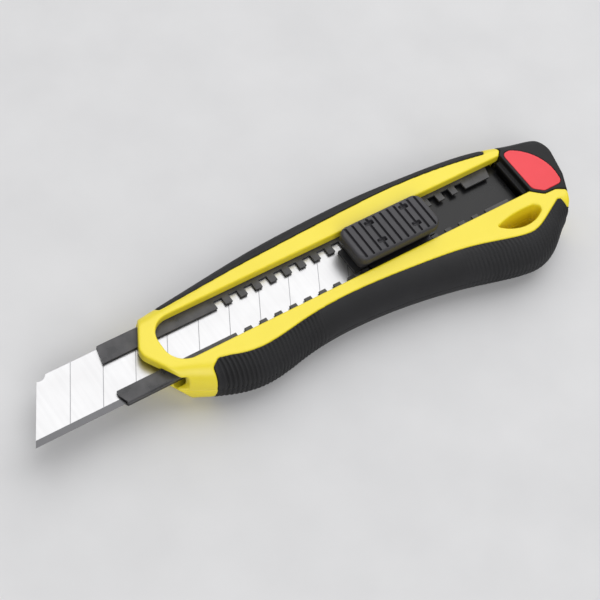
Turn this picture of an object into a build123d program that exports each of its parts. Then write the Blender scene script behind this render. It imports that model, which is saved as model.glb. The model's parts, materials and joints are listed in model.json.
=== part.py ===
from build123d import *
import os

# Snap-off utility knife, 18 mm blade. Millimetres.
# Origin: on the flat back face, on the blade's centre line, near the middle of the knife at rest.
# +X runs from the blade's tip to the tail, +Y from the cutting edge to the spine,
# and +Z out of the face that carries the thumb pad.

# ---- driving dimensions ----
TIP_X = -91.4
BLADE_LENGTH = 110.0
BLADE_HALF_WIDTH = 9.0
BLADE_THICK = 0.5
BLADE_TOP_Z = 11.0
SEGMENT_PITCH = 10.0
SEGMENT_COUNT = 8
SCORE_LEAN = 10.39          # run of a 60 degree score line over the blade's width
SCORE_DEPTH = 0.12
SCORE_WIDTH = 0.22
EDGE_BEVEL = 1.8
TAIL_HOLE_R = 2.0
BREAK_NOTCH_R = 2.2
PEG_R = 1.7
PEG_X = 15.1

THICK = 15.0                # handle, face to face
PARTING_Z = 7.5             # the two shells meet here
TAIL_CORNER_R = 6.6         # the tail's corner on the spine side, in plan
TAIL_EDGE_R = 1.2           # soft edge round the tail
TRIM = 0.06                 # cut off each face so that it is truly flat
GAP = 0.1                   # between fixed pieces that only lie beside each other

SHEET = 0.6                 # steel of the blade channel
BEND_R = 0.5
CHANNEL_FRONT_X = -65.3
CHANNEL_REAR_X = 73.3
LIP_REAR_X = 69.1
CHANNEL_HALF = 9.7
CHANNEL_TOP_Z = 11.9
CHANNEL_FLOOR_Z = 10.3      # top of the channel's floor
LIP_BELLY_Y = -5.1          # inner edges of the two lips
LIP_SPINE_Y = 4.0
NOTCH_PITCH = 5.0
NOTCH_COUNT = 18
NOTCH_LENGTH = 2.8
NOTCH_DEPTH = 2.5
FIRST_NOTCH_X = -26.1       # centre of the notch nearest the nose

WINDOW_HALF = 7.45
WINDOW_FRONT_X = -48.4
WINDOW_REAR_X = 75.0
WINDOW_CORNER_R = 6.2
SLOT_SIDE_X = -46.8         # the slot in the nose opens sideways in front of this
SLOT_LOW_Z = 8.4            # the belly side's opening is taller than the channel
SLOT_HIGH_Z = 12.8
NOSE_APEX = (-55.2, 0.5)
NOSE_APEX_R = 4.0
NOSE_RAKE = 29              # degrees
RAKE_TOP_Z = 8.0            # the nose's front is upright above this and raked back below
POCKET_HALF = 9.8           # room for the channel inside the shells
BACK_WALL = 2.4             # thickness of the back shell under the channel
NOSE_HOLLOW_Z = 3.4
CARRY_RIB_X = (-34.0, -14.0, 6.0, 26.0, 46.0)
CARRY_RIB_THICK = 1.6
RUBBER = 2.3                # thickness of the moulded-on grips

NOTCH_OF_REST = 11
LOCK_X = FIRST_NOTCH_X + NOTCH_OF_REST * NOTCH_PITCH
CARRIER_REAR_X = 42.6
CARRIER_TOP_Z = 12.0
SPRING_THICK = 0.4

PAD_FRONT_X = 13.2
PAD_LENGTH = 29.0
PAD_WIDTH = 12.6
PAD_TOP_Z = 18.9
PAD_BOTTOM_Z = 12.6
PAD_CORNER_R = 3.0
PAD_CENTRE_X = PAD_FRONT_X + PAD_LENGTH / 2
PAD_GROOVES = 11
PAD_GROOVE_PITCH = 2.45
PAD_GROOVE_WIDTH = 0.7
PAD_GROOVE_DEPTH = 0.9
PAD_CROSS_LENGTH = 2.9
PAD_CROSS_WIDTH = 1.4
PAD_CROSS_DEPTH = 1.3
PAD_CROSSED_GROOVES = (3, 8)
PAD_CROSS_Y = (-2.7, 3.9)
PAD_CAP_Z = 16.1            # underside of the pad's cap
PAD_OVERHANG = 1.4

CAP_TONGUE_LENGTH = 14.0
INSERT_THICK = 1.4
SCREWS = [(-41.8, -11.6), (45.5, -12.8)]
SCREW_R = 1.0
SCREW_HEAD_R = 1.5
SCREW_HEAD_Z = 2.2          # the heads lie this deep in their holes
SCREW_HEAD_HEIGHT = 1.4
SCREW_TOP_Z = 12.0
SCREW_CLEARANCE = 0.15

# cross sections of the handle: x, belly side y, spine side y, and the radius of each side's edges
SECTIONS = [
    (-60.0, -10.4, 10.2, 4.4, 4.4),
    (-50.0, -11.1, 11.6, 4.9, 5.0),
    (-46.5, -12.6, 12.1, 5.4, 5.4),
    (-40.0, -16.1, 13.1, 6.2, 6.0),
    (-26.0, -20.2, 14.7, 6.6, 5.8),
    (-11.0, -18.4, 16.0, 7.0, 4.8),
    (8.0, -17.3, 16.7, 7.0, 3.8),
    (26.0, -18.9, 16.8, 7.0, 3.2),
    (46.0, -22.8, 15.9, 7.0, 3.2),
    (60.0, -26.4, 14.9, 7.0, 3.4),
    (67.0, -27.0, 14.1, 7.0, 3.8),
    (74.0, -24.4, 12.7, 7.0, 4.2),
    (82.0, -19.0, 10.5, 6.6, 4.2),
    (93.0, -10.5, 7.0, 6.0, 4.2),
]


def block(x0, x1, y0, y1, z0, z1):
    """A box between two opposite corners."""
    middle = Location(((x0 + x1) / 2, (y0 + y1) / 2, (z0 + z1) / 2))
    return middle * Box(x1 - x0, y1 - y0, z1 - z0)


def prism(points, z0, z1, corner=0.0, skip=()):
    """A plan outline pulled from z0 to z1, its corners rounded except those numbered in skip."""
    face = make_face(Polyline(*points, close=True))
    if corner:
        round_at = [points[i] for i in range(len(points)) if i not in skip]
        corners = [v for v in face.vertices() if any(abs(v.X - x) + abs(v.Y - y) < 1e-6 for x, y in round_at)]
        face = fillet(corners, corner)
    return Pos(0, 0, z0) * extrude(face, z1 - z0)


def section(x, belly, spine, belly_radius, spine_radius, inset):
    """One cross section of the handle, drawn in by inset."""
    face = Rectangle(spine - belly - 2 * inset, THICK + 2 * TRIM - 2 * inset).face()
    face = fillet([v for v in face.vertices() if v.X < 0], max(belly_radius - inset, 1.0)).face()
    face = fillet([v for v in face.vertices() if v.X > 0], max(spine_radius - inset, 1.0)).face()
    return Plane(origin=(x, (spine + belly) / 2, THICK / 2), x_dir=(0, 1, 0), z_dir=(1, 0, 0)) * face


def rounded_loft(inset):
    """The handle's body through its cross sections, drawn in by inset and trimmed to flat faces."""
    return loft([section(*row, inset) for row in SECTIONS]) & block(-100, 120, -60, 60, inset, THICK - inset)


def nose_wedge():
    """Everything behind the chevron of the nose, whose lower half is raked back."""
    rear = [(130.0, -40.0), (130.0, 30.0), (-38.3, 30.0)]
    upper = prism([NOSE_APEX, (-31.5, -40.0)] + rear, RAKE_TOP_Z, THICK + 1, NOSE_APEX_R, skip=(1, 2, 3, 4))
    face = make_face(Polyline(NOSE_APEX, (-34.5, -40.0), *rear, close=True))
    apex = [v for v in face.vertices() if v.X < NOSE_APEX[0] + 1]
    lower = extrude(fillet(apex, NOSE_APEX_R), RAKE_TOP_Z + 1, dir=(0, 0, -1), taper=NOSE_RAKE)
    return upper + Pos(0, 0, RAKE_TOP_Z) * lower


def tail_outline():
    """Everything in front of the rounded tail."""
    plan = [(-90, -45), (-90, 30), (70, 30), (70, 13.9), (92.3, 6.9), (88.75, -7.0), (84.4, -15.6),
            (77, -25.5), (60, -45)]
    face = make_face(Polyline(*plan, close=True))
    face = fillet([v for v in face.vertices() if v.X > 91], TAIL_CORNER_R).face()
    face = fillet([v for v in face.vertices() if v.X > 76 and v.Y < -6], 3.6).face()
    outline = extrude(face, THICK)
    edges = outline.edges()
    rims = edges.group_by(Axis.Z)[0] + edges.group_by(Axis.Z)[-1]
    return fillet([e for e in rims if e.center().X > 66], TAIL_EDGE_R)


def cap_zone(gap):
    """The tail end that belongs to the end cap, drawn in by gap where it meets the shells."""
    plan = [(76.5, 30), (76.5, 9.0), (75.0, 7.6), (75.0, -7.6), (78.4, -10.4), (82.6, -10.6), (85.6, -12.2),
            (84.9, -40), (110, -40), (110, 30)]
    return prism([(x + gap, y) for x, y in plan], -2, THICK + 2, 0.9, skip=(0, 7, 8, 9))


def hard_zone():
    """Plan of the hard plastic that shows on both faces. The grips lie outside it."""
    belly = Spline((-33.3, -12.0), (-25.8, -13.7), (-10.8, -12.3), (5.0, -11.3), (29.2, -12.8), (49.2, -15.7),
                   (61.0, -18.9), (67.5, -19.6), (73.0, -17.7), (77.8, -15.3), (80.6, -13.9))
    spine = Spline((71.2, 10.2), (59.6, 12.0), (38.6, 13.5), (16.6, 13.1), (-13.7, 11.8), (-42.8, 10.1))
    rear = Polyline(belly @ 1, (81.8, -14.1), (82.7, -16.9), (90.0, -17.0), (90.0, 30), (72.2, 30),
                    (72.2, 11.6), spine @ 0)
    nose = Polyline(spine @ 1, (-43.8, 30), (-70, 30), (-70, -40), (-40.0, -40), (-39.8, -12.6),
                    (-37.3, -11.0), belly @ 0)
    return Pos(0, 0, -2) * extrude(make_face(Curve() + [belly, rear, spine, nose]), THICK + 4)


def lanyard_hole():
    """Half-moon hole with a pointed front end."""
    straight = ThreePointArc((58.2, -13.3), (65.5, -11.95), (72.4, -12.0))
    end = ThreePointArc(straight @ 1, (74.0, -13.2), (73.0, -15.1))
    bow = ThreePointArc(end @ 1, (66.0, -16.9), straight @ 0)
    return Pos(0, 0, -1) * extrude(make_face(Curve() + [straight, end, bow]), THICK + 2)


def handle_blank():
    """The outer shape of the handle with its end cap."""
    return rounded_loft(0.0) & nose_wedge() & tail_outline()


def split_at_parting(solid):
    """The half of a solid above the parting plane and the half below it."""
    above = block(-200, 200, -100, 100, PARTING_Z, 60)
    below = block(-200, 200, -100, 100, -60, PARTING_Z)
    return solid & above, solid & below


def window():
    """The long opening over the channel, rounded at the nose."""
    rear = WINDOW_REAR_X + 1
    opening = block(WINDOW_FRONT_X, rear, -WINDOW_HALF, WINDOW_HALF, CHANNEL_TOP_Z - 1, THICK + 1)
    front = opening.edges().filter_by(Axis.Z).sort_by(Axis.X)[:2]
    return fillet(front, WINDOW_CORNER_R)


def shell_hollows():
    """The channel's way through the nose and the hollow under it."""
    rear = WINDOW_REAR_X + 2
    low = CHANNEL_FLOOR_Z - SHEET - GAP
    high = CHANNEL_TOP_Z + GAP
    slot = block(-70, rear, -POCKET_HALF, POCKET_HALF, low, high)
    under = block(-42, rear, -POCKET_HALF, POCKET_HALF, BACK_WALL, CHANNEL_FLOOR_Z)
    sides = block(-70, SLOT_SIDE_X, -30, 30, low, high)
    belly_opening = block(-70, SLOT_SIDE_X, -30, LIP_BELLY_Y, SLOT_LOW_Z, SLOT_HIGH_Z)
    nose_hollow = block(-49.5, -41, -10.2, 2, NOSE_HOLLOW_Z, CHANNEL_FLOOR_Z)
    return slot + under + sides + belly_opening + nose_hollow


def shell_ribs():
    """Cross ribs of the back shell that carry the channel's floor."""
    ribs = []
    for x in CARRY_RIB_X:
        rear = x + CARRY_RIB_THICK
        ribs.append(block(x, rear, -POCKET_HALF, POCKET_HALF, BACK_WALL - 0.4, PARTING_Z))
        ribs.append(block(x, rear, -POCKET_HALF + 1, POCKET_HALF - 1, PARTING_Z - 1, CHANNEL_FLOOR_Z - SHEET))
    return ribs


def screw_holes(radius, z0, z1):
    """A round bar at each screw, from z0 to z1."""
    return [Pos(x, y, (z0 + z1) / 2) * Cylinder(radius, z1 - z0) for x, y in SCREWS]


def handle_parts():
    """Shells, grips and the blank of the end cap."""
    blank = handle_blank()
    handle = blank - cap_zone(0.0) - lanyard_hole()
    hard = (handle & hard_zone()) + (handle & rounded_loft(RUBBER))
    rubber = handle - hard
    hard = hard - shell_hollows() - window()
    front, back = split_at_parting(hard)
    front = front - screw_holes(SCREW_R, PARTING_Z - 1, SCREW_TOP_Z)
    back = back + shell_ribs()
    back = back - screw_holes(SCREW_R + SCREW_CLEARANCE, -1, PARTING_Z + 1)
    back = back - screw_holes(SCREW_HEAD_R + SCREW_CLEARANCE, -1, SCREW_HEAD_Z + SCREW_HEAD_HEIGHT)
    grips = {}
    for half, name in zip(split_at_parting(rubber), ("front", "back")):
        for side, low, high in (("belly", -60, 0), ("spine", 0, 60)):
            grips[side + "_grip_" + name] = half & block(-200, 200, low, high, -60, 60)
    return front, back, grips, blank & cap_zone(GAP)


def end_cap(blank):
    """Black tail cap: a recess for its coloured insert, a hollow, and two latch tongues."""
    cap = blank - insert_plan(THICK - INSERT_THICK, THICK + 1)
    cap = cap - block(77.5, 86.0, -6.0, 5.0, 2.6, THICK - INSERT_THICK - 1.8)
    cap = cap - block(70.0, 78.0, -4.0, 3.0, 4.0, 8.0)
    cap = cap + block(73.5, 75.2, -6.6, 6.6, CHANNEL_TOP_Z + GAP, CHANNEL_TOP_Z + 1.3)
    for side in (-1, 1):
        y = side * 7.4
        cap = cap + block(75.1 - CAP_TONGUE_LENGTH, 78, y - 1.0, y + 1.0, 3.6, 8.4)
        cap = cap + block(75.1 - CAP_TONGUE_LENGTH, 64.2, y + side - 0.4, y + side + 0.6, 4.6, 7.4)
    return cap


def insert_plan(z0, z1):
    """Rounded leaf shape of the cap's insert."""
    bow = ThreePointArc((79.0, 7.6), (84.9, 2.2), (86.8, -5.0))
    rim = Polyline(bow @ 1, (86.2, -9.5), (79.2, -9.6), (76.2, -7.2), (76.2, 7.6), bow @ 0)
    face = make_face(Curve() + [bow, rim])
    face = fillet(face.vertices().sort_by(Axis.Y)[:3], 2.0)
    tips = [v for v in face.vertices() if v.Y > 7 and v.X < 77]
    return Pos(0, 0, z0) * extrude(fillet(tips, 1.6), z1 - z0)


def blade_channel():
    """Bent steel C section whose two lips hold the blade and carry the lock notches."""
    low = CHANNEL_FLOOR_Z - SHEET
    outer = block(CHANNEL_FRONT_X, CHANNEL_REAR_X, -CHANNEL_HALF, CHANNEL_HALF, low, CHANNEL_TOP_Z)
    outer = fillet(outer.edges().filter_by(Axis.X), BEND_R)
    inner_half = CHANNEL_HALF - SHEET
    inner = block(-80, 90, -inner_half, inner_half, CHANNEL_FLOOR_Z, CHANNEL_TOP_Z - SHEET)
    gap = block(-80, 90, LIP_BELLY_Y, LIP_SPINE_Y, CHANNEL_FLOOR_Z, CHANNEL_TOP_Z + 1)
    channel = outer - inner - gap
    notch_z = CHANNEL_TOP_Z - SHEET / 2
    for k in range(NOTCH_COUNT):
        x = FIRST_NOTCH_X + k * NOTCH_PITCH
        cutter = Box(NOTCH_LENGTH, LIP_SPINE_Y - LIP_BELLY_Y + 2 * NOTCH_DEPTH, SHEET * 2)
        channel = channel - Pos(x, (LIP_SPINE_Y + LIP_BELLY_Y) / 2, notch_z) * cutter
    spine_front = [(-80, LIP_SPINE_Y - 0.1), (-63.9, LIP_SPINE_Y - 0.1), (-62.5, 9.9), (-62.5, 12), (-80, 12)]
    belly_front = [(-80, LIP_BELLY_Y + 0.1), (-65.1, LIP_BELLY_Y + 0.1), (-65.4, -6.2), (-63.9, -9.9),
                   (-63.9, -12), (-80, -12)]
    middle_front = [(-80, LIP_BELLY_Y), (-64.4, LIP_BELLY_Y), (-64.4, LIP_SPINE_Y), (-80, LIP_SPINE_Y)]
    for plan in (spine_front, belly_front, middle_front):
        channel = channel - prism(plan, 5, 20)
    lip_z = CHANNEL_TOP_Z - SHEET
    channel = channel - prism([(LIP_REAR_X, 3), (90, 3), (90, 9), (LIP_REAR_X + 1.8, 9)], lip_z, 20)
    channel = channel - block(LIP_REAR_X, 90, -9, -3, lip_z, 20)
    return channel


def snap_blade():
    """Segmented blade: slanted front, break notch, score lines, ground edge and tail hole."""
    half = BLADE_HALF_WIDTH
    rear = TIP_X + BLADE_LENGTH
    front_top = TIP_X + SCORE_LEAN
    low = BLADE_TOP_Z - BLADE_THICK
    blade = prism([(TIP_X, -half), (rear, -half), (rear, half), (front_top, half)], low, BLADE_TOP_Z)
    blade = blade - Pos(front_top + 0.5, half + 0.9, BLADE_TOP_Z) * Cylinder(BREAK_NOTCH_R, 4)
    blade = blade - Pos(PEG_X, 0, BLADE_TOP_Z) * Cylinder(TAIL_HOLE_R, 4)
    for top in (1, -1):
        z = BLADE_TOP_Z if top > 0 else low
        bevel = Plane.YZ.offset(-100) * make_face(Polyline(
            (-half - 0.01, z + top), (-half + EDGE_BEVEL, z), (-half - 0.01, z - top * 0.2), close=True))
        blade = blade - extrude(bevel, 130)
    for k in range(1, SEGMENT_COUNT):
        x = TIP_X + k * SEGMENT_PITCH
        lean = SCORE_LEAN * (half + 1) / half / 2
        middle = x + SCORE_LEAN / 2
        plan = [(middle - lean, -half - 1), (middle - lean + SCORE_WIDTH, -half - 1),
                (middle + lean + SCORE_WIDTH, half + 1), (middle + lean, half + 1)]
        blade = blade - prism(plan, BLADE_TOP_Z - SCORE_DEPTH, BLADE_TOP_Z + 1)
    return blade


def blade_carrier():
    """Slider base: a plate under the lips, a riser between them, the blade's peg and the pad's boss."""
    rear = TIP_X + BLADE_LENGTH
    plate = block(rear + 0.5, CARRIER_REAR_X, -8.9, 8.9, CHANNEL_FLOOR_Z + 0.1, CHANNEL_TOP_Z - SHEET - 0.1)
    riser = block(PAD_FRONT_X, CARRIER_REAR_X - 0.6, LIP_BELLY_Y + 0.4, LIP_SPINE_Y - 0.4,
                  BLADE_TOP_Z + 0.05, CARRIER_TOP_Z)
    peg = Pos(PEG_X, 0, BLADE_TOP_Z - 0.15) * Cylinder(PEG_R, 0.7)
    boss = block(22.0, 35.4, -2.9, 2.9, CARRIER_TOP_Z - 0.2, 15.4)
    return plate + riser + peg + boss


def lock_spring():
    """Flat spring frame on the carrier with two teeth that drop into the channel's notches."""
    z0 = CARRIER_TOP_Z
    frame = block(17.8, 39.8, -6.2, 5.6, z0, z0 + SPRING_THICK) - block(20.6, 36.8, -3.2, 3.2, z0 - 1, z0 + 2)
    tooth_z = CHANNEL_TOP_Z - SHEET
    spine_tooth = block(LOCK_X - 1.1, LOCK_X + 1.1, LIP_SPINE_Y + 0.3, 5.6, tooth_z, z0 + 0.1)
    belly_tooth = block(LOCK_X - 1.1, LOCK_X + 1.1, -6.2, LIP_BELLY_Y - 0.3, tooth_z, z0 + 0.1)
    return frame + spine_tooth + belly_tooth


def thumb_pad():
    """Ribbed push pad: a soft-edged cap on a narrower hollow stem."""
    middle = Pos(PAD_CENTRE_X, 0, 0)
    cap = extrude(RectangleRounded(PAD_LENGTH, PAD_WIDTH, PAD_CORNER_R), PAD_TOP_Z - PAD_CAP_Z)
    cap = fillet(cap.faces().sort_by(Axis.Z)[-1].edges(), 1.0)
    stem_plan = offset(RectangleRounded(PAD_LENGTH, PAD_WIDTH, PAD_CORNER_R), -PAD_OVERHANG)
    stem = extrude(stem_plan, PAD_CAP_Z - PAD_BOTTOM_Z + 0.5)
    pad = middle * (Pos(0, 0, PAD_CAP_Z) * cap + Pos(0, 0, PAD_BOTTOM_Z) * stem)
    hollow = Box(PAD_LENGTH - 6.4, PAD_WIDTH - 5.4, 3.6)
    pad = pad - middle * Pos(0, 0, PAD_BOTTOM_Z + 1.5) * hollow
    first = PAD_CENTRE_X - (PAD_GROOVES - 1) / 2 * PAD_GROOVE_PITCH
    for k in range(PAD_GROOVES):
        groove = Box(PAD_GROOVE_WIDTH, PAD_WIDTH - 1.5, 2 * PAD_GROOVE_DEPTH)
        pad = pad - Pos(first + k * PAD_GROOVE_PITCH, 0, PAD_TOP_Z) * groove
    for k in PAD_CROSSED_GROOVES:
        for y in PAD_CROSS_Y:
            slot = Box(PAD_CROSS_LENGTH, PAD_CROSS_WIDTH, 2 * PAD_CROSS_DEPTH)
            pad = pad - Pos(first + k * PAD_GROOVE_PITCH, y, PAD_TOP_Z) * slot
    return pad


def shell_screws():
    """Self-tapping screws that hold the shells together, driven from the back face."""
    top = SCREW_TOP_Z - 0.2
    shafts = screw_holes(SCREW_R, SCREW_HEAD_Z, top)
    heads = screw_holes(SCREW_HEAD_R, SCREW_HEAD_Z, SCREW_HEAD_Z + SCREW_HEAD_HEIGHT)
    cross = Box(2.0, 0.5, 1.2) + Box(0.5, 2.0, 1.2)
    screws = []
    for head, shaft, (x, y) in zip(heads, shafts, SCREWS):
        screws.append(head + shaft - Pos(x, y, SCREW_HEAD_Z) * cross)
    return Compound(children=screws)


def as_one(shape):
    """A shape, or a list of shapes, as one solid or one group of solids."""
    solids = shape.solids()
    return solids[0] if len(solids) == 1 else Compound(children=solids)


os.makedirs("parts", exist_ok=True)
front_shell, back_shell, grips, cap_blank = handle_parts()
nodes = {
    "front_shell": front_shell,
    "back_shell": back_shell,
    "blade_channel": blade_channel(),
    "snap_blade": snap_blade(),
    "blade_carrier": blade_carrier(),
    "lock_spring": lock_spring(),
    "thumb_pad": thumb_pad(),
    "end_cap": end_cap(cap_blank),
    "end_cap_insert": insert_plan(THICK - INSERT_THICK, THICK),
    "shell_screws": shell_screws(),
}
nodes.update(grips)
for name, shape in nodes.items():
    export_step(as_one(shape), "parts/" + name + ".step")
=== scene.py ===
import json

import bmesh
import bpy
import numpy as np
from mathutils import Matrix, Vector
from mathutils.bvhtree import BVHTree

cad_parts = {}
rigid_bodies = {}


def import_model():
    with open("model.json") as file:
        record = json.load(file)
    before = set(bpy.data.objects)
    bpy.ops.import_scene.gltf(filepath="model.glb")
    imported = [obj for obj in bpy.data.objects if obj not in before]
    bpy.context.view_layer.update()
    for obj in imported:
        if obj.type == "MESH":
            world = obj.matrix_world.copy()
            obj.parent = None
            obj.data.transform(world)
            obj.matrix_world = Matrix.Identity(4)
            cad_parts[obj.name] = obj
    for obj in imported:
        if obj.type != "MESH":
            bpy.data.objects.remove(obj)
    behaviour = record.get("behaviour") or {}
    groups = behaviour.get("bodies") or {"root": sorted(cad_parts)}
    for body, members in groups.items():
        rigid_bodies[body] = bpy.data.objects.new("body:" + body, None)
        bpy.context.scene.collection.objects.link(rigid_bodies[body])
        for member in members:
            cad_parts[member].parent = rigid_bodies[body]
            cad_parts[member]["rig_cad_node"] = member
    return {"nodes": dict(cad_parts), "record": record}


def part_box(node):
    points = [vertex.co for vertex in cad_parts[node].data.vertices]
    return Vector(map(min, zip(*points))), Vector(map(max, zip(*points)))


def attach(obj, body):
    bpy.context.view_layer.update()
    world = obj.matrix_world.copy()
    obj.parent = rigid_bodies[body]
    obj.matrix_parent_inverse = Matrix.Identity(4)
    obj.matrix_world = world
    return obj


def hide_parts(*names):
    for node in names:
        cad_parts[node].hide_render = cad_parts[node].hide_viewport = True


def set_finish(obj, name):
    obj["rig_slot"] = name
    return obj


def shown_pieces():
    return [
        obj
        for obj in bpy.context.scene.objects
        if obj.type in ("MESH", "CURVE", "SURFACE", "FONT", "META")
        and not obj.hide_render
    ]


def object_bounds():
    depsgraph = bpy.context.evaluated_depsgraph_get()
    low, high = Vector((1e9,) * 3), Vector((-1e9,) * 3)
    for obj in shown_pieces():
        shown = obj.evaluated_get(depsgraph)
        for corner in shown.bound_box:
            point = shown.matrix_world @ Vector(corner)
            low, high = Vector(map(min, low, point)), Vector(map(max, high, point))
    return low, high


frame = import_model()
CAD_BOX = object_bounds()
MM = 0.001

# ---- sizes, in metres, and places worked out from the frame ----
RIB_PITCH = 1.27 * MM
RIB_DEPTH = 0.6 * MM
RIB_FRONT_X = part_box("belly_grip_front")[0].x + 1.2 * MM
RIB_REAR_X = RIB_FRONT_X + 35.5 * MM
RIB_REAR_FADE = 4.2 * MM
RIB_SHARPNESS = 0.7         # under 1 makes the grooves narrower than the ribs
TAIL_RIBS_FRONT_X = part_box("belly_grip_front")[1].x - 46 * MM
TAIL_RIBS_SHARE = 0.6
TAIL_RIBS_FADE = 14 * MM
EDGE_FADE = 0.7 * MM
SKIN_START = 0.25           # how squarely a face looks outward before it counts as skin
SKIN_FULL = 0.6
SKIN_LEAST = 0.05
GROOVE_WIDTH = 0.7 * MM
GROOVE_DEPTH = 0.6 * MM
PARTING_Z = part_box("front_shell")[0].z
SEAM_CRISP = 0.15 * MM
SEAM_SOFT = 1.2 * MM
SOFT_LEVELS = 8
GRIP_HEART = Vector((0, -8 * MM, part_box("front_shell")[0].z))
BLADE_LOW, BLADE_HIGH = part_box("snap_blade")
BEVEL_WIDTH = 1.8 * MM
SEGMENT_PITCH = 10 * MM
SCORE_LEAN = 10.39 * MM
SCORE_WIDTH = 0.22 * MM
SCORE_LAYER = 0.2 * MM      # the score lines lie within this of the blade's upper face
LIP_SHEEN_START = 0.8 * MM  # above the channel's lowest point; the floor below this takes painted shade
LIP_SHEEN_FULL = 0.3 * MM   # below its highest; the lips above this take the full painted sheen
FLOOR_GAP = 0.05 * MM
FLOOR_HALF = 3.0


# ---- mesh helpers ----
def link(obj):
    bpy.context.scene.collection.objects.link(obj)
    return obj


def with_modifiers_applied(obj):
    """Makes the object's modifiers permanent."""
    graph = bpy.context.evaluated_depsgraph_get()
    mesh = bpy.data.meshes.new_from_object(obj.evaluated_get(graph))
    obj.modifiers.clear()
    obj.data = mesh


def welded_copy(node, name):
    """A new object with a CAD node's surface, its split edges welded."""
    mesh = bpy.data.meshes.new(name)
    bm = bmesh.new()
    bm.from_mesh(frame["nodes"][node].data)
    bmesh.ops.remove_doubles(bm, verts=bm.verts, dist=1e-6)
    bm.to_mesh(mesh)
    bm.free()
    return link(bpy.data.objects.new(name, mesh))


def points_and_normals(mesh):
    count = len(mesh.vertices)
    points = np.empty(count * 3, np.float32)
    normals = np.empty(count * 3, np.float32)
    mesh.vertices.foreach_get("co", points)
    mesh.vertex_normals.foreach_get("vector", normals)
    return points.reshape(-1, 3).astype(float), normals.reshape(-1, 3).astype(float)


def set_points(mesh, points):
    mesh.vertices.foreach_set("co", points.astype(np.float32).ravel())
    mesh.update()


def smoothstep(low, high, value):
    """0 below low, 1 above high, with a smooth rise between."""
    t = np.clip((value - low) / (high - low), 0, 1)
    return t * t * (3 - 2 * t)


def moulded(node, body, slot, voxel, rounds, shape=None):
    """A CAD node's shape as one even, dense mesh with soft edges, but crisp where the two halves meet."""
    piece = welded_copy(node, node + "_moulded")
    remesh = piece.modifiers.new("remesh", "REMESH")
    remesh.mode = "VOXEL"
    remesh.voxel_size = voxel
    with_modifiers_applied(piece)
    heights = points_and_normals(piece.data)[0][:, 2]
    softness = smoothstep(SEAM_CRISP, SEAM_SOFT, np.abs(heights - PARTING_Z))
    group = piece.vertex_groups.new(name="soft")
    for level in range(SOFT_LEVELS + 1):
        members = np.flatnonzero(np.round(softness * SOFT_LEVELS) == level)
        group.add(members.tolist(), level / SOFT_LEVELS, "REPLACE")
    smooth = piece.modifiers.new("smooth", "SMOOTH")
    smooth.factor = 0.5
    smooth.iterations = rounds
    smooth.vertex_group = "soft"
    with_modifiers_applied(piece)
    piece.vertex_groups.clear()
    if shape:
        shape(piece.data)
    piece.data.shade_smooth()
    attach(piece, body)
    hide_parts(node)
    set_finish(piece, slot)


def outward_skin(points, normals):
    """1 on a grip's outer skin and 0 on the faces that bed on the shells."""
    outward = points[:, 1:] - np.array(GRIP_HEART)[1:]
    outward /= np.linalg.norm(outward, axis=1)[:, None]
    return smoothstep(SKIN_START, SKIN_FULL, (outward * normals[:, 1:]).sum(1))


def border_groove(mesh):
    """Sinks a grip's skin beside the shell that matches its half, which leaves a fine groove."""
    points, normals = points_and_normals(mesh)
    half = "front_shell" if points[:, 2].mean() > PARTING_Z else "back_shell"
    shell = bmesh.new()
    shell.from_mesh(frame["nodes"][half].data)
    tree = BVHTree.FromBMesh(shell)
    shell.free()
    skin = outward_skin(points, normals)
    depth = np.zeros(len(points))
    for index in np.flatnonzero(skin > SKIN_LEAST):
        distance = tree.find_nearest(points[index], GROOVE_WIDTH)[3]
        if distance is not None:
            depth[index] = GROOVE_DEPTH * (1 - distance / GROOVE_WIDTH)
    set_points(mesh, points - normals * (depth * skin)[:, None])


def grip_ribs(mesh):
    """Rounded cross ribs over the front of the belly grip, and fainter ones round the tail."""
    points, normals = points_and_normals(mesh)
    x = points[:, 0]
    front = smoothstep(RIB_FRONT_X - EDGE_FADE, RIB_FRONT_X + EDGE_FADE, x)
    front *= 1 - smoothstep(RIB_REAR_X - RIB_REAR_FADE, RIB_REAR_X, x)
    tail = TAIL_RIBS_SHARE * smoothstep(TAIL_RIBS_FRONT_X, TAIL_RIBS_FRONT_X + TAIL_RIBS_FADE, x)
    skin = outward_skin(points, normals)
    groove = 1 - np.abs(np.sin(np.pi * (x - RIB_FRONT_X) / RIB_PITCH)) ** RIB_SHARPNESS
    depth = RIB_DEPTH * groove * (front + tail) * skin
    set_points(mesh, points - normals * depth[:, None])


# ---- materials ----
def new_material(name):
    material = bpy.data.materials.new(name)
    material.use_nodes = True
    shader = material.node_tree.nodes["Principled BSDF"]
    return material, material.node_tree, shader


def noise(tree, scale, detail=3.0, stretch=(1, 1, 1)):
    """Noise in the object's own metres; scale is in cycles per metre."""
    place = tree.nodes.new("ShaderNodeTexCoord")
    mapping = tree.nodes.new("ShaderNodeMapping")
    mapping.inputs["Scale"].default_value = stretch
    texture = tree.nodes.new("ShaderNodeTexNoise")
    texture.inputs["Scale"].default_value = scale
    texture.inputs["Detail"].default_value = detail
    tree.links.new(place.outputs["Object"], mapping.inputs["Vector"])
    tree.links.new(mapping.outputs["Vector"], texture.inputs["Vector"])
    return texture.outputs["Fac"]


def ramp(tree, source, low, high, at=(0.3, 0.7)):
    """Colours between low and high as source runs over at."""
    node = tree.nodes.new("ShaderNodeValToRGB")
    for element, place, colour in zip(node.color_ramp.elements, at, (low, high)):
        element.position = place
        element.color = (*colour, 1)
    tree.links.new(source, node.inputs["Fac"])
    return node.outputs["Color"]


def span(tree, source, low, high):
    """Source from 0 to 1 spread over low to high."""
    node = tree.nodes.new("ShaderNodeMapRange")
    node.inputs["To Min"].default_value = low
    node.inputs["To Max"].default_value = high
    tree.links.new(source, node.inputs["Value"])
    return node.outputs["Result"]


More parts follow.
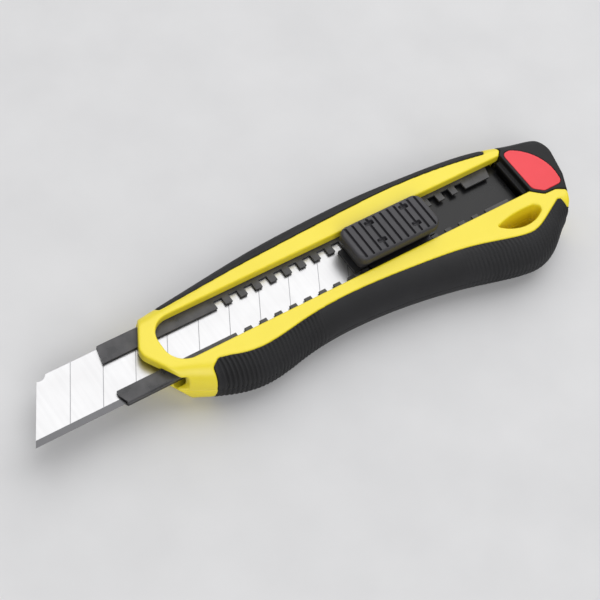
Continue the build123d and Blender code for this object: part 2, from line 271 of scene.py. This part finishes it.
def bump(tree, shader, source, distance):
    node = tree.nodes.new("ShaderNodeBump")
    node.inputs["Strength"].default_value = 1.0
    node.inputs["Distance"].default_value = distance
    tree.links.new(source, node.inputs["Height"])
    tree.links.new(node.outputs["Normal"], shader.inputs["Normal"])


def plastic(name, colour, darker, rough, grain, depth, specular=0.5):
    """Moulded plastic or rubber: slight cloudiness in colour and gloss, and a fine spark-eroded grain."""
    material, tree, shader = new_material(name)
    cloud = noise(tree, 60)
    tree.links.new(ramp(tree, cloud, darker, colour), shader.inputs["Base Color"])
    tree.links.new(span(tree, noise(tree, 350), rough[0], rough[1]), shader.inputs["Roughness"])
    shader.inputs["Specular IOR Level"].default_value = specular
    bump(tree, shader, noise(tree, grain, 2.0), depth)
    return material


def ground_steel(name, colour, darker, rough, lines, depth):
    """Steel with fine parallel grinding lines along Y."""
    material, tree, shader = new_material(name)
    shader.inputs["Metallic"].default_value = 1.0
    grind = noise(tree, lines, 4.0, (1, 0.04, 1))
    tree.links.new(ramp(tree, grind, darker, colour), shader.inputs["Base Color"])
    tree.links.new(span(tree, grind, rough[0], rough[1]), shader.inputs["Roughness"])
    bump(tree, shader, grind, depth)
    return material


def maths(tree, operation, first, second):
    """One arithmetic node; either value may be a socket or a number."""
    node = tree.nodes.new("ShaderNodeMath")
    node.operation = operation
    for socket, value in zip(node.inputs, (first, second)):
        if isinstance(value, (int, float)):
            socket.default_value = value
        else:
            tree.links.new(value, socket)
    return node.outputs["Value"]


def mixed(tree, factor, first, second):
    """First colour where factor is 0, second where it is 1."""
    node = tree.nodes.new("ShaderNodeMix")
    node.data_type = "RGBA"
    tree.links.new(factor, node.inputs["Factor"])
    for name, value in (("A", first), ("B", second)):
        if isinstance(value, tuple):
            node.inputs[name].default_value = (*value, 1)
        else:
            tree.links.new(value, node.inputs[name])
    return node.outputs["Result"]


def object_axes(tree):
    place = tree.nodes.new("ShaderNodeTexCoord")
    split = tree.nodes.new("ShaderNodeSeparateXYZ")
    tree.links.new(place.outputs["Object"], split.inputs["Vector"])
    return split.outputs


def blade_steel():
    """Ground steel with slanted score lines, painted shade on the bevel along the edge, and faint stains.
    """
    material, tree, shader = new_material("ground_blade")
    shader.inputs["Metallic"].default_value = 1.0
    axes = object_axes(tree)
    streak = noise(tree, 900, 4.0, (1, 0.05, 1))
    stain = noise(tree, 110, 5.0)
    steel = mixed(tree, span(tree, stain, 0, 0.5), (0.62, 0.62, 0.625), (0.46, 0.45, 0.455))
    steel = mixed(tree, span(tree, streak, 0, 0.35), steel, (0.42, 0.42, 0.43))
    width = BLADE_HIGH.y - BLADE_LOW.y
    across = maths(tree, "MULTIPLY", maths(tree, "SUBTRACT", axes["Y"], BLADE_LOW.y), SCORE_LEAN / width)
    along = maths(tree, "SUBTRACT", maths(tree, "SUBTRACT", axes["X"], BLADE_LOW.x), across)
    segment = maths(tree, "FRACT", maths(tree, "DIVIDE", along, SEGMENT_PITCH), 0)
    line = maths(tree, "LESS_THAN", segment, SCORE_WIDTH / SEGMENT_PITCH)
    first = maths(tree, "GREATER_THAN", along, SEGMENT_PITCH / 2)
    line = maths(tree, "MULTIPLY", line, first)
    top = maths(tree, "GREATER_THAN", axes["Z"], BLADE_HIGH.z - SCORE_LAYER)
    steel = mixed(tree, maths(tree, "MULTIPLY", line, top), steel, (0.24, 0.24, 0.25))
    # Painted shade: the bevel band is coloured much darker, standing in for its tilt turning away from
    # the light.
    edge = maths(tree, "LESS_THAN", axes["Y"], BLADE_LOW.y + BEVEL_WIDTH)
    steel = mixed(tree, edge, steel, (0.13, 0.13, 0.135))
    tree.links.new(steel, shader.inputs["Base Color"])
    tree.links.new(span(tree, streak, 0.26, 0.36), shader.inputs["Roughness"])
    bump(tree, shader, noise(tree, 9000, 4.0, (1, 0.04, 1)), 0.002 * MM)
    return material


def channel_paint():
    """Black-painted steel: painted shade makes its floor near black, and a painted sheen with some wear
    makes its lips paler.
    """
    material, tree, shader = new_material("painted_channel")
    axes = object_axes(tree)
    low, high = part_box("blade_channel")
    # Painted light: the low floor is coloured near black as painted shade, and the raised lips are paler
    # as a painted sheen, varied by wear.
    height = tree.nodes.new("ShaderNodeMapRange")
    height.inputs["From Min"].default_value = low.z + LIP_SHEEN_START
    height.inputs["From Max"].default_value = high.z - LIP_SHEEN_FULL
    tree.links.new(axes["Z"], height.inputs["Value"])
    wear = noise(tree, 260, 5.0)
    lips = ramp(tree, wear, (0.045, 0.045, 0.048), (0.090, 0.088, 0.092))
    paint_and_shade = mixed(tree, height.outputs["Result"], (0.008, 0.008, 0.009), lips)
    tree.links.new(paint_and_shade, shader.inputs["Base Color"])
    shader.inputs["Specular IOR Level"].default_value = 0.35
    tree.links.new(span(tree, wear, 0.22, 0.36), shader.inputs["Roughness"])
    bump(tree, shader, noise(tree, 3500, 2.0), 0.006 * MM)
    return material


MATERIALS = {
    "shell": plastic("yellow_abs", (0.96, 0.80, 0.035), (0.93, 0.76, 0.022),
                     (0.32, 0.44), 5200, 0.006 * MM, 0.7),
    "grip": plastic("black_rubber", (0.016, 0.016, 0.018), (0.011, 0.011, 0.012),
                    (0.58, 0.72), 6500, 0.02 * MM, 0.4),
    "pad": plastic("pad_plastic", (0.050, 0.048, 0.055), (0.038, 0.037, 0.042),
                   (0.45, 0.6), 4500, 0.02 * MM),
    "cap": plastic("cap_plastic", (0.012, 0.012, 0.013), (0.008, 0.008, 0.009),
                   (0.44, 0.56), 4500, 0.012 * MM, 0.25),
    "insert": plastic("red_abs", (0.92, 0.045, 0.065), (0.86, 0.035, 0.05),
                      (0.36, 0.48), 5200, 0.008 * MM),
    "carrier": plastic("carrier_acetal", (0.022, 0.022, 0.025), (0.016, 0.016, 0.018),
                       (0.4, 0.55), 4500, 0.01 * MM),
    "channel": channel_paint(),
    "blade": blade_steel(),
    "spring": ground_steel("blued_spring", (0.10, 0.10, 0.12), (0.06, 0.06, 0.07),
                           (0.3, 0.45), 5000, 0.003 * MM),
    "screws": ground_steel("plated_steel", (0.55, 0.55, 0.57), (0.42, 0.42, 0.44),
                           (0.25, 0.4), 5000, 0.003 * MM),
}


def paint_everything():
    """Each piece takes the material of its slot."""
    slots = {row["node"]: row["material_slot"] for row in frame["record"]["subparts"]}
    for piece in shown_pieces():
        name = piece.get("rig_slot") or slots[piece["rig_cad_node"]]
        piece.data.materials.clear()
        piece.data.materials.append(MATERIALS[name])


# ---- pieces ----
moulded("front_shell", "handle", "shell", 0.28 * MM, 16)
moulded("back_shell", "handle", "shell", 0.35 * MM, 10)
moulded("belly_grip_front", "handle", "grip", 0.18 * MM, 4, grip_ribs)
moulded("belly_grip_back", "handle", "grip", 0.18 * MM, 4, grip_ribs)
moulded("spine_grip_front", "handle", "grip", 0.22 * MM, 4, border_groove)
moulded("spine_grip_back", "handle", "grip", 0.22 * MM, 4, border_groove)
moulded("thumb_pad", "pad", "pad", 0.15 * MM, 3)
moulded("end_cap", "tail_cap", "cap", 0.22 * MM, 6)
moulded("end_cap_insert", "tail_cap", "insert", 0.15 * MM, 3)
paint_everything()


# ---- floor, camera and light ----
def stage():
    mesh = bpy.data.meshes.new("floor")
    low = CAD_BOX[0][2] - FLOOR_GAP
    far = FLOOR_HALF
    corners = [(-far, -far, low), (far, -far, low), (far, far, low), (-far, far, low)]
    mesh.from_pydata(corners, [], [(0, 1, 2, 3)])
    floor = link(bpy.data.objects.new("floor", mesh))
    material, tree, shader = new_material("pale_floor")
    colour = ramp(tree, noise(tree, 40), (0.70, 0.70, 0.71), (0.74, 0.74, 0.75))
    tree.links.new(colour, shader.inputs["Base Color"])
    shader.inputs["Roughness"].default_value = 0.8
    mesh.materials.append(material)


def camera():
    """Looks down from the cutting-edge side in front of the tip, rolled a little."""
    data = bpy.data.cameras.new("camera")
    data.lens = 100.17
    data.sensor_width = 36.0
    obj = link(bpy.data.objects.new("camera", data))
    right = Vector((0.81551, -0.56055, 0.14397))
    up = Vector((0.40170, 0.72733, 0.55644))
    back = Vector((-0.4166, -0.3960, 0.8183))
    turn = Matrix((right, up, back)).transposed().to_4x4()
    obj.matrix_world = Matrix.Translation(Vector((-198.90, -188.28, 390.89)) * MM) @ turn
    bpy.context.scene.camera = obj


def area_light(name, place, target, size, watts):
    data = bpy.data.lights.new(name, "AREA")
    data.shape = "DISK"
    data.size = size
    data.energy = watts
    obj = link(bpy.data.objects.new(name, data))
    obj.location = place
    obj.rotation_euler = (Vector(target) - Vector(place)).to_track_quat("-Z", "Y").to_euler()


def lights():
    world = bpy.data.worlds.new("studio")
    world.use_nodes = True
    world.node_tree.nodes["Background"].inputs["Color"].default_value = (1.0, 1.0, 1.0, 1)
    world.node_tree.nodes["Background"].inputs["Strength"].default_value = 0.20
    bpy.context.scene.world = world
    area_light("softbox", (0.55, 0.50, 1.0), (0, 0, 0), 2.0, 16)
    area_light("fill", (-0.5, -1.0, 1.0), (0, 0, 0), 1.2, 10.5)
    bpy.context.scene.view_settings.view_transform = "Standard"


stage()
camera()
lights()
